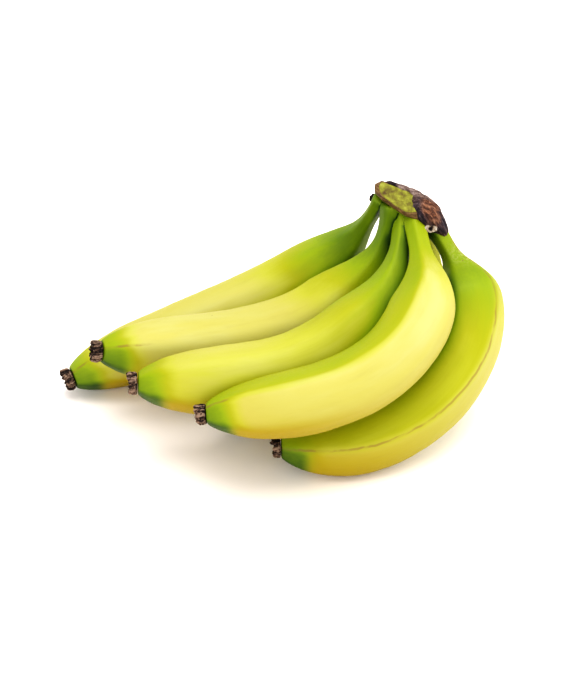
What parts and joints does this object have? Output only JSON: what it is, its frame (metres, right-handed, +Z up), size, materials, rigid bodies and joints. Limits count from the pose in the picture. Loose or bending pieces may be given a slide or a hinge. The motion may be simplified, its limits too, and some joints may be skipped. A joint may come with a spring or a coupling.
{
  "type": "bunch of bananas",
  "caption": "Bunch of curved yellow-green bananas fanned out from one cut crown, lying on the backs of its outer row.",
  "frame": {"origin": "on the surface that the bunch lies on, under the middle of its bounding box", "axes": "+X from the dried tips towards the shoulders, along the bunch; +Z up; the front of the bunch faces -Y"},
  "size_m": [0.2284, 0.1532, 0.1128],
  "materials": {
    "peel": "waxy satin",
    "dried_tip": "dry, crumpled",
    "bark": "dry, rough",
    "cut_flesh": "matt, fibrous",
    "torn_end": "dry, fibrous"
  },
  "bodies": {
    "root": {"banana_1": "peel", "banana_2": "peel", "banana_3": "peel", "banana_4": "peel", "banana_5": "peel", "banana_6": "peel", "tip_1": "dried_tip", "tip_2": "dried_tip", "tip_3": "dried_tip", "tip_4": "dried_tip", "tip_5": "dried_tip", "tip_6": "dried_tip", "crown": "bark", "crown_flesh": "cut_flesh", "crown_torn_end": "torn_end"}
  },
  "joints": []
}
